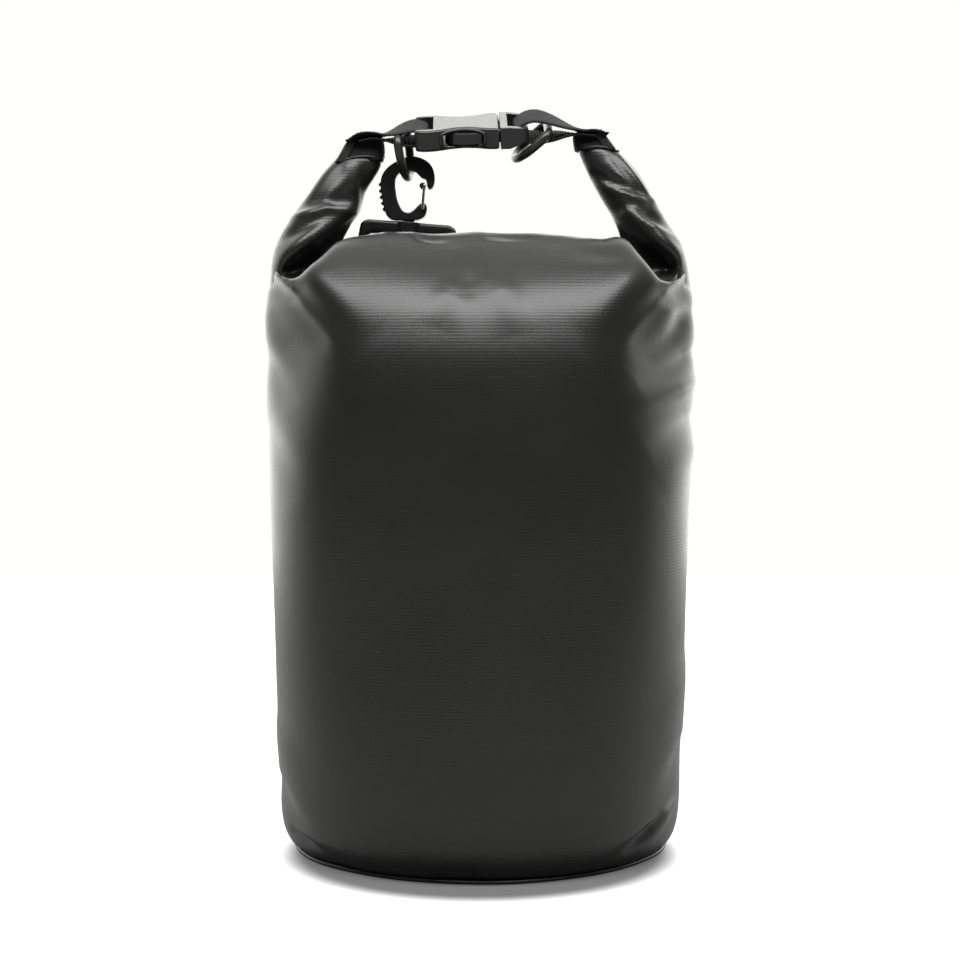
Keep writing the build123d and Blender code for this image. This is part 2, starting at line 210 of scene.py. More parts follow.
# creases across the bent-up ends
ARM_FOLDS = [
    (-94.0, 310.6, -74.5, 314.6, 2.0, -1.2),
    (-74.5, 314.6, -58.0, 312.9, 2.0, -1.3),
    (-92.0, 316.5, -64.0, 319.8, 4.0, 1.7),
    (-64.0, 334.0, -60.0, 316.0, 3.0, -1.0),
    (-55.5, 333.0, -58.0, 318.0, 2.4, 0.9),
    (-101.0, 299.0, -79.0, 309.0, 3.0, 0.9),
    (-97.0, 289.0, -62.0, 314.0, 3.6, -1.5),
    (-98.0, 299.0, -70.0, 314.0, 4.5, 1.2),
    (-86.0, 321.0, -72.0, 337.0, 3.0, -0.8),
    (-82.0, 319.0, -67.0, 332.0, 3.8, 0.8),
    (68.0, 341.0, 85.0, 319.0, 1.3, -1.0),
    (64.0, 340.0, 82.0, 318.5, 1.6, 0.8),
    (73.0, 340.0, 88.0, 320.0, 2.2, 0.8),
    (56.0, 331.0, 82.0, 320.5, 3.0, 1.6),
    (55.0, 328.0, 70.0, 322.0, 2.2, -1.2),
    (70.0, 322.0, 88.0, 318.0, 2.2, -1.2),
    (76.0, 316.0, 87.0, 308.5, 2.6, 1.2),
    (73.0, 313.0, 84.0, 305.5, 2.4, -1.0),
    (84.0, 305.5, 100.0, 299.0, 2.4, -1.0),
    (86.0, 311.0, 99.0, 304.0, 2.8, 0.8),
    (72.0, 312.0, 99.0, 291.0, 3.6, -1.5),
    (80.0, 313.0, 99.0, 300.0, 4.0, 1.0),
]

# height, centre, half-width, half-depth and squareness of the webbing sewn round each end of the mouth
LEFT_BAND = [
    (338.4, -58.8, 11.0, 8.2, 3.0),
    (343.0, -57.8, 10.8, 7.6, 3.2),
    (347.6, -56.8, 9.4, 6.6, 3.0),
    (350.8, -55.6, 6.8, 5.2, 2.6),
]
RIGHT_BAND = [
    (343.4, 57.0, 10.2, 8.0, 3.0),
    (346.6, 55.6, 9.4, 7.4, 3.2),
    (349.8, 53.4, 7.6, 6.4, 3.0),
    (352.2, 51.2, 5.0, 5.0, 2.6),
]
BAND_VOXEL = 0.6
# the front outline of the tab beside each band, and its front and back
LEFT_TAB = [(-71.2, 337.4), (-64.4, 349.0), (-61.2, 347.2), (-65.4, 337.4)]
LEFT_TAB_DEPTH = (-8.4, 6.0)
RIGHT_TAB = [(66.8, 343.8), (59.4, 353.8), (55.8, 351.6), (61.0, 343.8)]
RIGHT_TAB_DEPTH = (-8.0, 6.0)
TAB_VOXEL = 0.45

# the strip over the back's weld: its ends, its half-width and how far it stands out
SEAM_ENDS = (7.0, 292.0)
SEAM_HALF_WIDTH = 9.0
SEAM_SHOULDER = 8.6
SEAM_LIFT = 0.75
SEAM_EDGE_LIFT = 0.05
SEAM_THICK = 0.9
SEAM_ROWS = 120
BEHIND_BAG = 300.0            # where the rays that find the bag's back start

BASE_HEM_RADIUS = 91.6
BASE_HEM_Z = 1.35
BASE_HEM_ROD = 1.05           # half its thickness

ROLL_Z = 280.1
ROLL_HALF_LENGTH = 71.0
ROLL_TURNS = 2.6
ROLL_SQUARENESS = 2.8
ROLL_POINTS = 150             # along the coil
ROLL_CORE = (11.0, 2.6)       # half-width and half-height where the coil starts
ROLL_GROWTH = (5.6, 2.3)      # and how much more they are where it ends
ROLL_THICK = 0.7

# ---------------------------------------------------------------- the buckle's own frame
BUCKLE_Z = 353.4
BUCKLE_ROLL = 21.0            # front edge down
BUCKLE_PITCH = -2.5           # plug end up
WEBBING_WIDTH = 25.0
WEBBING_THICK = 1.5
RIB_PITCH = 1.35
RIB_HEIGHT = 0.13
ROW_HEIGHT = 0.09             # of the woven rows that run along a strap
ROW_COUNT = 11
EDGE_POWER = 14               # how square a strap's edges are
EDGE_THICK = 0.35             # share of the thickness that is left at the very edge
STRAP_STEP = 0.27
STRAP_STATIONS = 27

# along the buckle, height above its middle and roll in degrees of each strap's middle line
LEFT_STRAP = [
    (-63.0, -3.6, -10.0), (-58.6, -0.8, -5.0), (-53.0, 0.2, 0.0), (-47.9, 0.3, 6.0), (-44.0, 1.3, 12.0),
    (-40.2, 2.4, 17.0), (-36.0, 3.6, 20.0), (-32.0, 4.2, 21.0), (-29.0, 3.5, 21.0), (-26.9, 2.7, 21.0),
    (-25.9, 1.3, 21.0), (-25.9, -1.3, 21.0), (-26.9, -2.7, 21.0), (-29.0, -3.3, 21.0), (-32.0, -3.4, 20.0),
    (-37.0, -3.3, 18.0), (-42.0, -2.9, 13.0), (-47.0, -2.3, 7.0), (-53.0, -2.6, 0.0), (-58.0, -4.4, -6.0),
]
RIGHT_STRAP = [
    (60.0, -6.2, -12.0), (56.0, -4.0, -5.0), (51.0, -2.4, 3.0), (46.5, -0.6, 9.0), (41.0, 1.8, 15.0),
    (35.5, 4.2, 19.0), (30.2, 6.0, 21.0), (25.9, 6.5, 21.0), (22.0, 5.5, 21.0), (19.4, 3.9, 21.0),
    (17.6, 2.6, 21.0), (17.1, 1.0, 21.0), (17.1, -1.0, 21.0), (17.6, -2.5, 21.0), (19.4, -3.2, 21.0),
    (23.0, -3.6, 21.0), (28.0, -4.2, 21.0), (35.7, -3.9, 18.0), (42.0, -3.4, 12.0), (48.0, -3.9, 5.0),
    (55.0, -6.4, -4.0),
]

# the front outline of the snap hook: round the outside from its nose, then back round the eye
HOOK_OUTLINE = [
    (-25.4, 324.9), (-23.7, 325.3), (-22.6, 327.4), (-22.3, 330.4), (-22.9, 334.0), (-24.6, 337.2),
    (-27.4, 339.4), (-30.9, 340.7), (-33.9, 341.0), (-36.7, 340.5), (-41.6, 338.4), (-45.6, 335.6),
    (-48.1, 332.4), (-49.0, 329.5), (-49.1, 326.0), (-48.6, 321.8), (-47.9, 317.6), (-47.0, 313.9),
    (-45.6, 311.2), (-43.0, 309.8), (-39.0, 309.6), (-33.2, 309.6), (-29.6, 310.2), (-27.2, 311.8),
    (-26.3, 314.0), (-26.2, 316.0), (-27.0, 317.8), (-28.1, 318.4), (-29.5, 317.8), (-31.1, 316.3),
    (-32.8, 314.6), (-34.6, 313.5), (-36.2, 313.4), (-38.1, 314.2), (-39.6, 316.4), (-40.9, 319.7),
    (-41.6, 323.9), (-41.9, 327.4), (-41.5, 330.4), (-39.9, 332.8), (-37.4, 334.0), (-34.6, 334.3),
    (-32.1, 333.6), (-30.4, 332.0), (-28.8, 330.4), (-27.2, 329.9), (-26.4, 328.4), (-26.1, 326.4),
]
HOOK_MIDDLE = 1.75            # how far behind the bag's middle its own middle lies
HOOK_HALF_THICK = 3.5
HOOK_VOXEL = 0.3
# x and z of the ridges for the thumb
THUMB_RIDGES = [(-49.4, 327.2), (-49.3, 324.0), (-48.9, 320.9), (-48.3, 317.9), (-47.5, 315.0)]
RIDGE_RADIUS = 0.8
RIDGE_INSET = 0.6
HUB = (-35.2, 308.7)          # where the stem leaves the hook
STEM_RADIUS = 2.6
STEM_ENDS = (2.4, -7.4)       # height of the stem's ends over the hub
HEAD_RADIUS = 4.2
HEAD_ENDS = (-6.4, -8.1)      # height of the head's ends over the hub
HEAD_ASIDE = 0.4              # to the left, as the stem leans with the loop
KNOB_RADIUS = 1.6
KNOB_DROP = 0.9               # below the top of the gate
KNOB_INSET = 1.4              # from each side of the gate
KNOB_VOXEL = 0.2
LOOP_SLOPE = 0.0787           # the loop hangs with its right end down
LOOP_RISE = 1.5               # of its left end over its middle
LOOP_DEEPER = 2.0             # how much deeper its upper bar is than the CAD part's
LOOP_BAR_FOOT = (2.3, 4.2)    # below the loop's top, where the deepening comes in
LOOP_BAR_FADE = (6.0, 10.0)   # and where it fades out down the two ends

# along the buckle and out from its middle: the socket's edge, waisted where its buttons are
SOCKET_EDGE = [(-24.0, 17.0), (-17.0, 14.9), (-8.5, 12.1), (-0.5, 14.9), (4.5, 17.0)]
WINDOW_X = -8.6
WINDOW_HALF_LENGTH = 10.9
WINDOW_HALF_HEIGHT = 4.1
WINDOW_SQUARENESS = 3.4
RIM_RADIUS = 0.85
RIM_STANDS_OUT = 0.1

# ---------------------------------------------------------------- the studio, in metres
CAMERA_DISTANCE = 1.0
CAMERA_HEIGHT = 0.226
AIM_HEIGHT = 0.181
LENS = 75.4                   # in millimetres, with a sensor 36 wide
FLOOR_RADIUS = 1.5
PAINTED_SHADOW_MIDDLE = -0.026         # the shadow painted on the floor lies this far before the bag's middle
PAINTED_SHADOW_EDGE = (0.084, 0.106)   # distance from there over which it fades
PAINTED_SHADOW_LEAST = 0.1             # how much of the paper's white is left under the bag

# ---------------------------------------------------------------- mesh helpers
def placed(name, data):
    """An object of that data, put in the scene."""
    obj = bpy.data.objects.new(name, data)
    bpy.context.scene.collection.objects.link(obj)
    return obj


def new_object(name, verts, faces):
    """A mesh object from points in millimetres."""
    mesh = bpy.data.meshes.new(name)
    mesh.from_pydata([tuple(MM * c for c in v) for v in verts], [], faces)
    mesh.update()
    return placed(name, mesh)


def get_points(obj, kind="co"):
    """The places of an object's points in metres, or their normals, one row each."""
    values = np.empty(len(obj.data.vertices) * 3)
    obj.data.vertices.foreach_get(kind, values)
    return values.reshape(-1, 3)


def set_points(obj, points):
    """Moves an object's points to places in metres."""
    obj.data.vertices.foreach_set("co", np.asarray(points, float).ravel())
    obj.data.update()


def shade_smooth(obj):
    obj.data.polygons.foreach_set("use_smooth", [True] * len(obj.data.polygons))
    obj.data.update()
    return obj


def bake_modifiers(obj):
    """Puts what the object's modifiers make into its mesh."""
    depsgraph = bpy.context.evaluated_depsgraph_get()
    result = bpy.data.meshes.new_from_object(obj.evaluated_get(depsgraph))
    obj.modifiers.clear()
    obj.data = result
    return obj


def remeshed(obj, voxel, smoothing=0):
    """Rebuilds the surface on a grid of that many millimetres, which rounds its edges and joins its parts."""
    modifier = obj.modifiers.new("voxels", "REMESH")
    modifier.mode = "VOXEL"
    modifier.voxel_size = voxel * MM
    if smoothing:
        soft = obj.modifiers.new("soft", "SMOOTH")
        soft.factor = 0.5
        soft.iterations = smoothing
    return shade_smooth(bake_modifiers(obj))


def joined(objects, name):
    """One object from several, which are taken away."""
    verts, faces = [], []
    for obj in objects:
        base = len(verts)
        verts += [tuple(v.co / MM) for v in obj.data.vertices]
        faces += [tuple(base + i for i in p.vertices) for p in obj.data.polygons]
        bpy.data.objects.remove(obj)
    return new_object(name, verts, faces)


def spline_rows(rows, steps):
    """Catmull-Rom curve through rows of numbers, with steps points to each stretch."""
    rows = np.array(rows, float)
    padded = np.vstack([2 * rows[0] - rows[1], rows, 2 * rows[-1] - rows[-2]])
    out = []
    for i in range(1, len(padded) - 2):
        a, b, c, d = padded[i - 1:i + 3]
        for t in np.arange(steps) / steps:
            out.append(0.5 * (2 * b + (c - a) * t + (2 * a - 5 * b + 4 * c - d) * t**2
                              + (3 * b - a - 3 * c + d) * t**3))
    return np.array(out + [rows[-1]])


def even_rows(rows, step):
    """The curve through rows, whose first columns are a place, with points that far apart."""
    fine = spline_rows(rows, 24)
    along = np.concatenate([[0], np.cumsum(np.linalg.norm(np.diff(fine[:, :2], axis=0), axis=1))])
    wanted = np.arange(0, along[-1], step)
    return np.column_stack([np.interp(wanted, along, column) for column in fine.T]), wanted


def round_angles(count):
    """Angles that go once round in that many steps."""
    return [i * 2 * pi / count for i in range(count)]


def ring_faces(rings, around):
    """Faces of a closed skin over rings of points, one ring after another, with both ends capped."""
    faces = []
    for r in range(rings - 1):
        for i in range(around):
            j = (i + 1) % around
            faces.append((r * around + i, r * around + j, (r + 1) * around + j, (r + 1) * around + i))
    faces.append(tuple(reversed(range(around))))
    faces.append(tuple((rings - 1) * around + i for i in range(around)))
    return faces


def squircle(angles, half_x, half_y, squareness):
    """Points of an oval that grows squarer as squareness rises above 2."""
    power = 2 / squareness
    x = half_x * np.sign(np.cos(angles)) * np.abs(np.cos(angles))**power
    y = half_y * np.sign(np.sin(angles)) * np.abs(np.sin(angles))**power
    return x, y


def lofted(name, sections, around, steps):
    """A closed solid through level ovals of height, centre, half-width, half-depth and squareness."""
    angles = np.array(round_angles(around))
    verts = []
    rows = spline_rows(sections, steps)
    for z, centre, half_x, half_y, squareness in rows:
        x, y = squircle(angles, half_x, half_y, squareness)
        verts += [(centre + a, b, z) for a, b in zip(x, y)]
    return new_object(name, verts, ring_faces(len(rows), around))


def tube(name, path, radius, around=12, closed=False):
    """A round rod along a path of points."""
    path = np.array(path, float)
    count = len(path)
    ahead = np.roll(path, -1, axis=0) if closed else np.vstack([path[1:], 2 * path[-1] - path[-2]])
    behind = np.roll(path, 1, axis=0) if closed else np.vstack([2 * path[0] - path[1], path[:-1]])
    along = ahead - behind
    along /= np.linalg.norm(along, axis=1)[:, None]
    verts = []
    oblique = (0.3, 0.5, 0.81)
    side = np.cross(along[0], oblique)
    for point, run in zip(path, along):
        side = side - run * (side @ run)
        side /= np.linalg.norm(side)
        other = np.cross(run, side)
        verts += [point + radius * (cos(a) * side + sin(a) * other) for a in round_angles(around)]
    faces = ring_faces(count, around)
    if closed:
        faces = faces[:-2]
        last = (count - 1) * around
        faces += [(last + i, last + (i + 1) % around, (i + 1) % around, i) for i in range(around)]
    return shade_smooth(new_object(name, verts, faces))


def prism(name, outline, y_front, y_back):
    """A plate with an outline in X and Z, as thick as from the front to the back given."""
    verts = [(x, y_front, z) for x, z in outline] + [(x, y_back, z) for x, z in outline]
    return new_object(name, verts, ring_faces(2, len(outline)))


def share_between(values, start, end):
    """0 at the start, 1 at the end and in step with the values between them."""
    return np.clip((values - start) / (end - start), 0, 1)


def smooth_step(values, start, end):
    """The same with a soft start and a soft end."""
    share = share_between(values, start, end)
    return share * share * (3 - 2 * share)


# ---------------------------------------------------------------- the coated-fabric shell
def carve_top(obj):
    """Brings the closed top down to the crest's line, and sinks the trough that the roll lies in."""
    points = get_points(obj) / MM
    x, y, z = points.T
    crest = np.where(y < 0, np.interp(x, *np.array(CREST).T), np.interp(x, *np.array(BACK_CREST).T))
    high = z > CARVED_ABOVE
    over = (z - crest) / CREST_SOFTNESS
    rounded = crest + CREST_SOFTNESS * (over - np.logaddexp(0, over))
    z = np.where(high, rounded, z)
    floor = TROUGH_Z - np.sqrt(np.clip(TROUGH_RADIUS**2 - y**2, 0, None))
    inside = high & (np.abs(y) < TROUGH_RADIUS)
    points[:, 2] = np.where(inside, np.minimum(z, floor), z)
    set_points(obj, points * MM)


def flatten_corners(obj):
    """Draws the fabric flat between the sides and the faces, where the tube narrows to its mouth."""
    points = get_points(obj) / MM
    x, y, z = points.T
    heights, *columns = np.array(FACETS).T
    slope, start, end, softness = (np.interp(z, heights, column) for column in columns)
    flat = start - slope * np.abs(y)
    beyond = np.abs(x) - end - FACET_SOFTNESS * np.logaddexp(0, (flat - end) / FACET_SOFTNESS)
    taken = softness * np.logaddexp(0, beyond / softness)
    points[:, 0] = x - np.sign(x) * taken * smooth_step(z, *FACET_HEIGHTS)
    set_points(obj, points * MM)


def tuck_under(obj, line):
    """Turns the front of a bent-up end back underneath, below the line."""
    points = get_points(obj) / MM
    x1, z1, x2, z2 = line
    along = Vector((x2 - x1, z2 - z1)).normalized()
    below = (points[:, 2] - z1) * along.x - (points[:, 0] - x1) * along.y
    below *= -1 if x2 > x1 else 1
    x, y = np.abs(points[:, 0]), points[:, 1]
    back = TUCK_DEPTH * smooth_step(below, 0, TUCK_RUN) * smooth_step(TUCK_END - x, 0, TUCK_FADE)
    back *= smooth_step(points[:, 2], *TUCK_FLOOR)
    points[:, 1] = np.where(y < -1, np.minimum(y + back, -1), y)
    set_points(obj, points * MM)


def fold_profile(points, fold, fades):
    """How far each point is moved in by one fold: most on its line, with a low rise at each side of it."""
    x1, z1, x2, z2, width, depth = fold
    start, run = np.array((x1, z1)), np.array((x2 - x1, z2 - z1))
    flat = points[:, (0, 2)] - start
    share = np.clip(flat @ run / (run @ run), 0, 1)
    away = np.linalg.norm(flat - share[:, None] * run, axis=1)
    if fades:
        strength = np.minimum(1, FOLD_START + FOLD_RISE * share) * (1 - share)**FOLD_FADE
        width = width * (FOLD_WIDTH + FOLD_WIDENING * share)
    else:
        strength = np.sqrt(np.sin(pi * (CREASE_START + CREASE_SPAN * share)))
    q = (away / width)**2
    return depth * strength * np.exp(-q) * (1 - SIDE_RISE * q)


def slack(points):
    """The low unevenness of filled fabric, which grows from its foot and dies down under the crest."""
    foot = share_between(points[:, 2], 0, SLACK_FOOT)
    top = np.maximum(LEAST_SLACK, share_between(points[:, 2], *SLACK_TOP))
    uneven = np.array([noise.noise(Vector(place)) for place in points / SLACK_SPANS])
    return SLACK_DEPTH * uneven * (foot * top)


def sculpt(obj):
    """Presses the folds into the front and the back, and lets the filled fabric sag unevenly."""
    points = get_points(obj) / MM
    normals = get_points(obj, "normal")
    front = share_between(points[:, 1], FRONT_EDGE, -FRONT_EDGE)
    arm = share_between(points[:, 2], *ARM_HEIGHTS) * (np.abs(points[:, 1]) < ARM_HALF_DEPTH)
    facing = np.clip(ARM_FACING * np.abs(normals[:, 1]), 0, 1)
    turned = points * (-1, 1, 1)
    depth = np.zeros(len(points))
    for fold in FRONT_FOLDS:
        depth += front * (1 - arm) * fold_profile(points, fold, True)
        depth += BACK_FOLDS * (1 - front) * (1 - arm) * fold_profile(turned, fold, True)
    for fold in ARM_FOLDS:
        depth += arm * facing * fold_profile(points, fold, False)
    depth -= slack(points)
    set_points(obj, (points - normals * depth[:, None]) * MM)


def add_weave(obj):
    """Records how far round and up the bag each point lies, for the threads of the fabric."""
    points = get_points(obj) / MM
    round_bag = np.arctan2(points[:, 0], -points[:, 1]) * MEAN_RADIUS
    weave = obj.data.attributes.new("weave", "FLOAT_VECTOR", "POINT")
    values = np.column_stack([round_bag, points[:, 2], np.zeros(len(points))])
    weave.data.foreach_set("vector", values.astype(np.float32).ravel())


def fabric_shell():
    """The filled tube and the two bent-up ends of its mouth, as one skin."""
    body = lofted("body", [(z, 0, a, b, n) for z, a, b, n in BODY_SECTIONS], 144, 6)
    body = remeshed(body, BODY_VOXEL)
    flatten_corners(body)
    carve_top(body)
    left = lofted("left", [(*row, ARM_SQUARENESS) for row in LEFT_ARM], 64, 5)
    right = lofted("right", [(*row, ARM_SQUARENESS) for row in RIGHT_ARM], 64, 5)
    tuck_under(left, LEFT_TUCK)
    tuck_under(right, RIGHT_TUCK)
    shell = remeshed(joined([body, left, right], "fabric_shell"), SHELL_VOXEL, 5)
    sculpt(shell)
    add_weave(shell)
    return shade_smooth(shell)


def surface_of(obj):
    """The object's skin, for rays to hit."""
    return BVHTree.FromPolygons([v.co for v in obj.data.vertices], [p.vertices for p in obj.data.polygons])


def back_seam(shell):
    """The strip over the weld that closes the tube, down the middle of the back."""
    tree = surface_of(shell)
    inner = SEAM_SHOULDER * np.linspace(-1, 1, 5)
    places = [-SEAM_HALF_WIDTH, *inner, SEAM_HALF_WIDTH]
    verts = []
    for z in np.linspace(*SEAM_ENDS, SEAM_ROWS):
        for x in places:
            hit = tree.ray_cast(Vector((x * MM, BEHIND_BAG * MM, z * MM)), Vector((0, -1, 0)))[0]
            lift = SEAM_EDGE_LIFT if abs(x) > SEAM_SHOULDER else SEAM_LIFT
            verts.append((x, hit.y / MM + lift, z))
    across = len(places)
    faces = []
    for r in range(SEAM_ROWS - 1):
        for i in range(across - 1):
            a = r * across + i
            faces.append((a + 1, a, a + across, a + across + 1))
    strip = new_object("back_seam", verts, faces)
    thicken = strip.modifiers.new("thickness", "SOLIDIFY")
    thicken.thickness = SEAM_THICK * MM
    thicken.offset = -1
    return shade_smooth(bake_modifiers(strip))


def base_hem():
    """The welded edge of the base, just under the wall and not quite a true circle."""
    path = []
    for a in round_angles(240):
        radius = BASE_HEM_RADIUS + 0.35 * sin(5 * a + 1) + 0.2 * sin(11 * a)
        path.append((radius * sin(a), -radius * cos(a), BASE_HEM_Z))
    return tube("base_hem", path, BASE_HEM_ROD, 10, closed=True)


def arm_hem(name, centre, half_x, half_y, slope):
    """The thin turned edge where the coated fabric ends below the webbing."""
    path = []
    for a in round_angles(72):
        x = half_x * cos(a)
        path.append((centre[0] + x, half_y * sin(a), centre[1] + slope * x + ARM_HEM_WAVE * sin(3 * a)))
    return tube(name, path, ARM_HEM_RADIUS, 8, closed=True)


# ---------------------------------------------------------------- the rolled mouth
def mouth_roll():
    """A flat coil of the doubled fabric, round the two strips that stiffen it."""
    turn = np.linspace(0, 2 * pi * ROLL_TURNS, ROLL_POINTS)
    share = turn / turn[-1]
    unit = np.column_stack(squircle(turn, 1, 1, ROLL_SQUARENESS))
    halves = np.array(ROLL_CORE) + np.outer(share, ROLL_GROWTH)
    section = np.vstack([halves * unit, ((halves - ROLL_THICK) * unit)[::-1]])
    verts = []
    places = np.linspace(-ROLL_HALF_LENGTH, ROLL_HALF_LENGTH, 60)
    for x in places:
        wave = 0.25 * sin(x / 7.0) + 0.2 * sin(x / 17.0 + 1)
        verts += [(x, b, ROLL_Z + c + wave) for b, c in section]
    around = len(section)
    faces = ring_faces(len(places), around)[:-2]
    last = (len(places) - 1) * around
    for i in range(ROLL_POINTS - 1):
        quad = (i, i + 1, around - 2 - i, around - 1 - i)
        faces.append(tuple(reversed(quad)))
        faces.append(tuple(last + k for k in quad))
    return shade_smooth(new_object("mouth_roll", verts, faces))


# ---------------------------------------------------------------- webbing
def strap(name, rows):
    """Woven webbing along its middle line, with ribs across it and a firm edge at each side."""
    line, along = even_rows(rows, STRAP_STEP)
    place = np.column_stack([line[:, 0], np.zeros(len(line)), line[:, 1]])
    run = np.gradient(place, axis=0)
    run /= np.linalg.norm(run, axis=1)[:, None]
    roll = np.radians(line[:, 2] - BUCKLE_ROLL)
    back = np.column_stack([np.zeros(len(line)), np.cos(roll), np.sin(roll)])
    back -= run * np.sum(back * run, axis=1)[:, None]
    back /= np.linalg.norm(back, axis=1)[:, None]
    face = np.cross(run, back)
    stations = np.linspace(-1, 1, STRAP_STATIONS)
    verts = []
    for i in range(len(line)):
        rib = RIB_HEIGHT * cos(2 * pi * along[i] / RIB_PITCH)
        for side in (1, -1):
            for s in stations * side:
                row = ROW_HEIGHT * cos(ROW_COUNT * pi * s)
                edge = sqrt(1 - abs(s)**EDGE_POWER)
                height = side * (WEBBING_THICK / 2 * max(edge, EDGE_THICK) + (rib + row) * edge)
                verts.append(place[i] + back[i] * s * WEBBING_WIDTH / 2 + face[i] * height)
    obj = new_object(name, verts, ring_faces(len(line), 2 * len(stations)))
    return shade_smooth(to_buckle(obj))


def mouth_band(name, sections):
    """The webbing sewn round one end of the mouth."""
    return remeshed(lofted(name, sections, 48, 4), BAND_VOXEL, 3)


def mouth_tab(name, outline, y_front, y_back):
    """The turned corner of the fabric beside a band."""
    return remeshed(prism(name, outline, y_front, y_back), TAB_VOXEL, 3)


def to_buckle(obj):
    """Carries a piece drawn in the buckle's own frame to its place."""
    place = Matrix.Translation((0, 0, BUCKLE_Z * MM))
    turn = Matrix.Rotation(radians(BUCKLE_PITCH), 4, "Y") @ Matrix.Rotation(radians(BUCKLE_ROLL), 4, "X")
    obj.data.transform(place @ turn)
    return obj


# ---------------------------------------------------------------- moulded and wire parts
def moulded(name, node, voxel=0.34, smoothing=4):
    """A copy of a CAD part whose edges are rounded as a mould rounds them."""
    return remeshed(placed(name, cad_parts[node].data.copy()), voxel, smoothing)


def window_rim(name, side):
    """The raised bead round a button's window in the socket's edge."""
    angles = np.array(round_angles(96))
    x, z = squircle(angles, WINDOW_HALF_LENGTH, WINDOW_HALF_HEIGHT, WINDOW_SQUARENESS)
    x += WINDOW_X
    y = np.interp(x, *spline_rows(SOCKET_EDGE, 8).T) + RIM_STANDS_OUT
    path = np.column_stack([x, side * y, z])
    return to_buckle(tube(name, path, RIM_RADIUS, 10, closed=True))


def snap_hook():
    """A C with a broad foot, ridged where the thumb pushes, and the headed stem that its loop turns on."""
    outline = spline_rows(HOOK_OUTLINE + HOOK_OUTLINE[:1], 3)[:-1]
    front, back = HOOK_MIDDLE - HOOK_HALF_THICK, HOOK_MIDDLE + HOOK_HALF_THICK
    parts = [prism("hook_plate", outline, front, back)]
    for x, z in THUMB_RIDGES:
        ridge = [(x, front + RIDGE_INSET, z), (x, back - RIDGE_INSET, z)]
        parts.append(tube("ridge", ridge, RIDGE_RADIUS, 10))
    stem = [(HUB[0], HOOK_MIDDLE, HUB[1] + height) for height in STEM_ENDS]
    parts.append(tube("stem", stem, STEM_RADIUS, 24))
    head = [(HUB[0] - HEAD_ASIDE, HOOK_MIDDLE, HUB[1] + height) for height in HEAD_ENDS]
    parts.append(tube("head", head, HEAD_RADIUS, 24))
    return remeshed(joined(parts, "snap_hook"), HOOK_VOXEL, 4)


def gate_knob():
    """The small roller on the gate's upper bar, which closes against the nose."""
    low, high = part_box("hook_gate")
    x, z = high.x / MM - KNOB_RADIUS, high.z / MM - KNOB_DROP
    path = [(x, low.y / MM + KNOB_INSET, z), (x, high.y / MM - KNOB_INSET, z)]
    return remeshed(tube("gate_knob", path, KNOB_RADIUS, 20), KNOB_VOXEL, 3)


def swivel_loop():
    """The wide loop under the hook. Its upper bar is the deeper one, because the stem goes through it."""
    obj = moulded("swivel_loop", "webbing_loop", smoothing=3)
    low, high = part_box("webbing_loop")
    points = get_points(obj) / MM
    aside = points[:, 0] - (low.x + high.x) / 2 / MM
    below = high.z / MM - LOOP_RISE - LOOP_SLOPE * aside - points[:, 2]
    deeper = smooth_step(below, *LOOP_BAR_FOOT) * (1 - smooth_step(below, *LOOP_BAR_FADE))
    points[:, 2] -= LOOP_DEEPER * deeper
    set_points(obj, points * MM)
    return obj


# ---------------------------------------------------------------- materials
CLOUD_SIZE = 12               # size of the patches of colour and gloss, in grains
GLOSS_CHANGE = 0.06           # how much rougher or smoother a patch can be


def set_inputs(node, **values):
    """Sets a node's inputs by name, with _ for a space."""
    for key, value in values.items():
        node.inputs[key.replace("_", " ")].default_value = value
    return node


def add_node(tree, kind, **values):
    """A new node with those inputs."""
    return set_inputs(tree.nodes.new(kind), **values)


def feed(tree, place, source):
    """Gives an input another node's output or a plain value."""
    if isinstance(source, bpy.types.NodeSocket):
        tree.links.new(source, place)
    else:
        place.default_value = source


def maths(tree, operation, *sources):
    """A sum worked out on sockets or plain numbers."""
    node = tree.nodes.new("ShaderNodeMath")
    node.operation = operation
    for place, source in zip(node.inputs, sources):
        feed(tree, place, source)
    return node.outputs[0]


def mixed_colour(tree, factor, first, second):
    """The first colour where the factor is 0 and the second where it is 1."""
    node = tree.nodes.new("ShaderNodeMix")
    node.data_type = "RGBA"
    for place, source in (("Factor", factor), ("A", first), ("B", second)):
        feed(tree, node.inputs[place], source)
    return node.outputs["Result"]


def spread(tree, source, low, high, start=0.0, end=1.0, shape="LINEAR"):
    """A value that goes from low to high while the source goes from start to end."""
    node = add_node(tree, "ShaderNodeMapRange", From_Min=start, From_Max=end, To_Min=low, To_Max=high)
    node.interpolation_type = shape
    tree.links.new(source, node.inputs["Value"])
    return node.outputs["Result"]


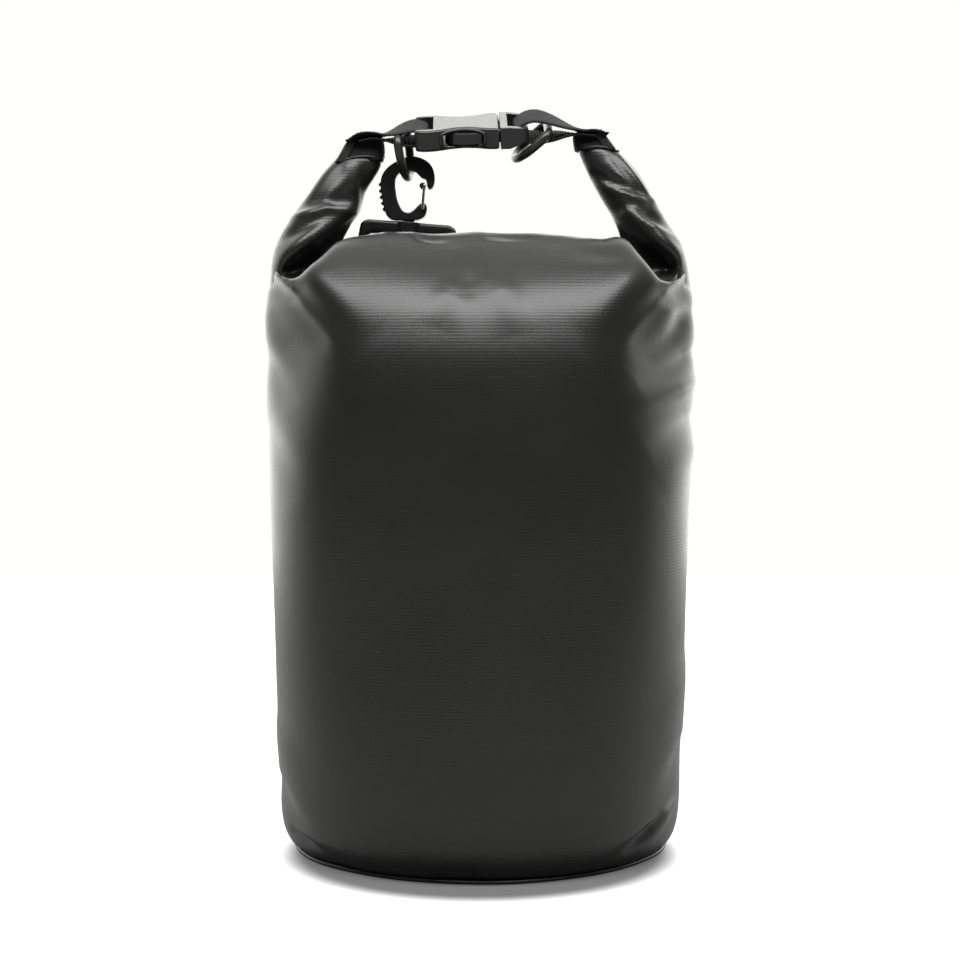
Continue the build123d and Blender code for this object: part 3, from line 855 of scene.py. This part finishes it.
def surface(name, colour, roughness, grain, relief, metallic=0.0, contrast=0.25, ior=1.45):
    """A surface whose colour, gloss and fine relief vary with a noise of that grain in millimetres."""
    material = bpy.data.materials.new(name)
    material.use_nodes = True
    tree = material.node_tree
    shader = tree.nodes["Principled BSDF"]
    set_inputs(shader, Base_Color=(*colour, 1), Roughness=roughness, Metallic=metallic, IOR=ior)
    place = tree.nodes.new("ShaderNodeTexCoord").outputs["Object"]
    cloud = add_node(tree, "ShaderNodeTexNoise", Scale=1 / (CLOUD_SIZE * grain * MM), Detail=4.0)
    fine = add_node(tree, "ShaderNodeTexNoise", Scale=1 / (grain * MM), Detail=3.0)
    for texture in (cloud, fine):
        tree.links.new(place, texture.inputs["Vector"])
    dark = (*(c * (1 - contrast) for c in colour), 1)
    light = (*(c * (1 + contrast) for c in colour), 1)
    tree.links.new(mixed_colour(tree, cloud.outputs["Fac"], dark, light), shader.inputs["Base Color"])
    gloss = spread(tree, cloud.outputs["Fac"], roughness - GLOSS_CHANGE, roughness + GLOSS_CHANGE)
    tree.links.new(gloss, shader.inputs["Roughness"])
    bump = add_node(tree, "ShaderNodeBump", Strength=1.0, Distance=relief * MM)
    tree.links.new(fine.outputs["Fac"], bump.inputs["Height"])
    tree.links.new(bump.outputs["Normal"], shader.inputs["Normal"])
    return material


def coated_fabric(name, colour, roughness):
    """Satin coating with the threads of the cloth showing faintly through it, along and across."""
    material = surface(name, colour, roughness, grain=3.0, relief=0.02, contrast=0.12, ior=1.42)
    tree = material.node_tree
    weave = tree.nodes.new("ShaderNodeAttribute")
    weave.attribute_name = "weave"
    split = tree.nodes.new("ShaderNodeSeparateXYZ")
    tree.links.new(weave.outputs["Vector"], split.inputs["Vector"])
    waves = []
    for axis in ("X", "Y"):
        angle = maths(tree, "MULTIPLY", split.outputs[axis], 2 * pi / SCRIM_PITCH)
        waves.append(maths(tree, "SINE", angle))
    both = maths(tree, "MULTIPLY_ADD", waves[0], THREADS_UP, waves[1])
    threads = add_node(tree, "ShaderNodeBump", Strength=1.0, Distance=THREAD_RELIEF * MM)
    tree.links.new(both, threads.inputs["Height"])
    shader = tree.nodes["Principled BSDF"]
    first = shader.inputs["Normal"].links[0].from_socket
    tree.links.new(first, threads.inputs["Normal"])
    tree.links.new(threads.outputs["Normal"], shader.inputs["Normal"])
    return material


def finish(obj, material, slot, *nodes):
    """Gives a piece its material, and lets it stand for CAD nodes. The slot is not used."""
    obj.data.materials.clear()
    obj.data.materials.append(material)
    if nodes:
        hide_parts(*nodes)
    return obj


# ---------------------------------------------------------------- studio
def area_light(name, place, target, size, power):
    """A rectangular lamp that points at its target."""
    data = bpy.data.lights.new(name, "AREA")
    data.shape = "RECTANGLE"
    data.size, data.size_y = size
    data.energy = power
    light = placed(name, data)
    light.location = place
    light.rotation_euler = (Vector(target) - Vector(place)).to_track_quat("-Z", "Y").to_euler()


def floor():
    """A sheet of white paper, with a shadow painted into its colour where the base rests on it. Seen directly
    it also glows white, and the painted shadow darkens that glow too.
    """
    rim = [(FLOOR_RADIUS / MM * sin(a), FLOOR_RADIUS / MM * cos(a), 0) for a in round_angles(96)]
    obj = new_object("floor", rim, [tuple(reversed(range(len(rim))))])
    material = surface("floor_paper_painted_shadow", (0.32, 0.32, 0.318), roughness=0.9, grain=5.0, relief=0.0,
                       contrast=0.005)
    tree = material.node_tree
    shader = tree.nodes["Principled BSDF"]
    paper = shader.inputs["Base Color"].links[0].from_socket
    place = tree.nodes.new("ShaderNodeTexCoord").outputs["Object"]
    away = tree.nodes.new("ShaderNodeVectorMath")
    away.operation = "DISTANCE"
    away.inputs[1].default_value = (0, PAINTED_SHADOW_MIDDLE, 0)
    tree.links.new(place, away.inputs[0])
    # painted shadow: the paper's colour fades to near black towards the base, a contact shadow put into the
    # colour
    light = spread(tree, away.outputs["Value"], PAINTED_SHADOW_LEAST, 1.0, *PAINTED_SHADOW_EDGE, "SMOOTHSTEP")
    painted_shadow_black = (0.02, 0.02, 0.02, 1)
    tree.links.new(mixed_colour(tree, light, painted_shadow_black, paper), shader.inputs["Base Color"])
    # the glow that only the camera sees carries the same painted shadow
    tree.links.new(light, shader.inputs["Emission Color"])
    seen = tree.nodes.new("ShaderNodeLightPath").outputs["Is Camera Ray"]
    tree.links.new(seen, shader.inputs["Emission Strength"])
    obj.data.materials.append(material)


def sky():
    """A white room, darker on the camera's side and brighter overhead. Seen directly it is an even white."""
    world = bpy.data.worlds.new("studio")
    bpy.context.scene.world = world
    world.use_nodes = True
    tree = world.node_tree
    place = tree.nodes.new("ShaderNodeTexCoord").outputs["Generated"]
    split = tree.nodes.new("ShaderNodeSeparateXYZ")
    tree.links.new(place, split.inputs["Vector"])
    behind = spread(tree, split.outputs["Y"], low=0.02, high=3.4, shape="SMOOTHSTEP")
    above = spread(tree, split.outputs["Z"], low=0.0, high=0.5, start=0.4, end=0.9, shape="SMOOTHSTEP")
    room = tree.nodes["Background"]
    tree.links.new(maths(tree, "ADD", behind, above), room.inputs["Strength"])
    room.inputs["Color"].default_value = (1, 0.995, 0.985, 1)
    paper = add_node(tree, "ShaderNodeBackground", Color=(0.99, 0.985, 0.97, 1), Strength=1.02)
    direct = tree.nodes.new("ShaderNodeLightPath").outputs["Is Camera Ray"]
    choose = tree.nodes.new("ShaderNodeMixShader")
    tree.links.new(direct, choose.inputs["Fac"])
    tree.links.new(room.outputs[0], choose.inputs[1])
    tree.links.new(paper.outputs[0], choose.inputs[2])
    tree.links.new(choose.outputs[0], tree.nodes["World Output"].inputs["Surface"])


def studio():
    """Daylight from the room, and one wide lamp overhead towards the front."""
    floor()
    sky()
    area_light("front_light", place=(0, -0.62, 1.3), target=(0, 0, 0.24), size=(2.2, 0.62), power=46)
    bpy.context.scene.view_settings.view_transform = "Standard"


def camera():
    """The view from straight in front, looking slightly down."""
    data = bpy.data.cameras.new("camera")
    data.lens = LENS
    data.sensor_width = 36
    cam = placed("camera", data)
    cam.location = (0, -CAMERA_DISTANCE, CAMERA_HEIGHT)
    aim = Vector((0, 0, AIM_HEIGHT)) - cam.location
    cam.rotation_euler = aim.to_track_quat("-Z", "Y").to_euler()
    bpy.context.scene.camera = cam


# ---------------------------------------------------------------- build
PVC = coated_fabric("coated_fabric", (0.0115, 0.0112, 0.0108), roughness=0.34)
WELD = surface("welded_edge", (0.012, 0.0118, 0.0114), roughness=0.42, grain=2.0, relief=0.02)
WEBBING = surface("woven_webbing", (0.0075, 0.0075, 0.0077), roughness=0.8, grain=0.35, relief=0.05, ior=1.3)
MOULDED = surface("moulded_buckle", (0.010, 0.0098, 0.0098), roughness=0.34, grain=0.25, relief=0.006)
RING = surface("ring_coating", (0.016, 0.015, 0.014), roughness=0.34, grain=0.4, relief=0.008)
HOOK = surface("moulded_hook", (0.004, 0.004, 0.0043), roughness=0.38, grain=0.25, relief=0.008, ior=1.4)
STEEL = surface("spring_steel", (0.62, 0.6, 0.57), roughness=0.24, grain=0.3, relief=0.004,
                metallic=1.0, contrast=0.1)
STRIP = surface("stiffening_strip", (0.02, 0.02, 0.02), roughness=0.5, grain=0.5, relief=0.01)

shell = finish(fabric_shell(), PVC, "pvc", "bag_tube", "rolled_end_left", "rolled_end_right")
seam = back_seam(shell)
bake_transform(shell)

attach(finish(seam, WELD, "pvc"), "bag")
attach(finish(base_hem(), WELD, "pvc_base", "base_panel"), "bag")
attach(finish(mouth_roll(), WELD, "pvc", "rolled_mouth"), "bag")
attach(finish(arm_hem("arm_hem_left", *LEFT_HEM), WELD, "pvc"), "bag")
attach(finish(arm_hem("arm_hem_right", *RIGHT_HEM), WELD, "pvc"), "plug_side")

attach(finish(mouth_band("band_left", LEFT_BAND), WEBBING, "webbing", "mouth_band_left"), "bag")
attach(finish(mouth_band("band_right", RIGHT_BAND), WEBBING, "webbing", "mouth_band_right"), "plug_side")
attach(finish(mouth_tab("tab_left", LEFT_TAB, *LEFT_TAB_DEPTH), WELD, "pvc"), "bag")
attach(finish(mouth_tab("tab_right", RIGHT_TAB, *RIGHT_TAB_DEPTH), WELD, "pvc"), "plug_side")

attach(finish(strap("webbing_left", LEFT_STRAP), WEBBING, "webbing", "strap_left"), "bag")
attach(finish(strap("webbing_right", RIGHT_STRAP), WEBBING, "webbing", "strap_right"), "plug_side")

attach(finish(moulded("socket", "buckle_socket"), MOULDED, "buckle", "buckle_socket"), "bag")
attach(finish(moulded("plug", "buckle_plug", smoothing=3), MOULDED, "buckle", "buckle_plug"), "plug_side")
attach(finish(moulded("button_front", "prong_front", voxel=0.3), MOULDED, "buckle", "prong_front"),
        "prong_f")
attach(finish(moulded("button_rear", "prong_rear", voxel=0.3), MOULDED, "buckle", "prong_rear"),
        "prong_r")
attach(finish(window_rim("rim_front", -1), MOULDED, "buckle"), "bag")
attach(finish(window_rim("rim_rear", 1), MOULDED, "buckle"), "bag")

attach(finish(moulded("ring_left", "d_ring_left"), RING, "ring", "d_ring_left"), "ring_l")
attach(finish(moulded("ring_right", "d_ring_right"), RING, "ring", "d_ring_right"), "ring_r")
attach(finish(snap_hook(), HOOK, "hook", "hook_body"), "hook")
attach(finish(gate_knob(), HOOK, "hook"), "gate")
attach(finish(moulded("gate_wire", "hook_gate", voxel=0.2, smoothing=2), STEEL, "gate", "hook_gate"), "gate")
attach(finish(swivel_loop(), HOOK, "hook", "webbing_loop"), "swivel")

for name in ("stiffener_lower", "stiffener_upper"):
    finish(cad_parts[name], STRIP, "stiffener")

studio()
camera()
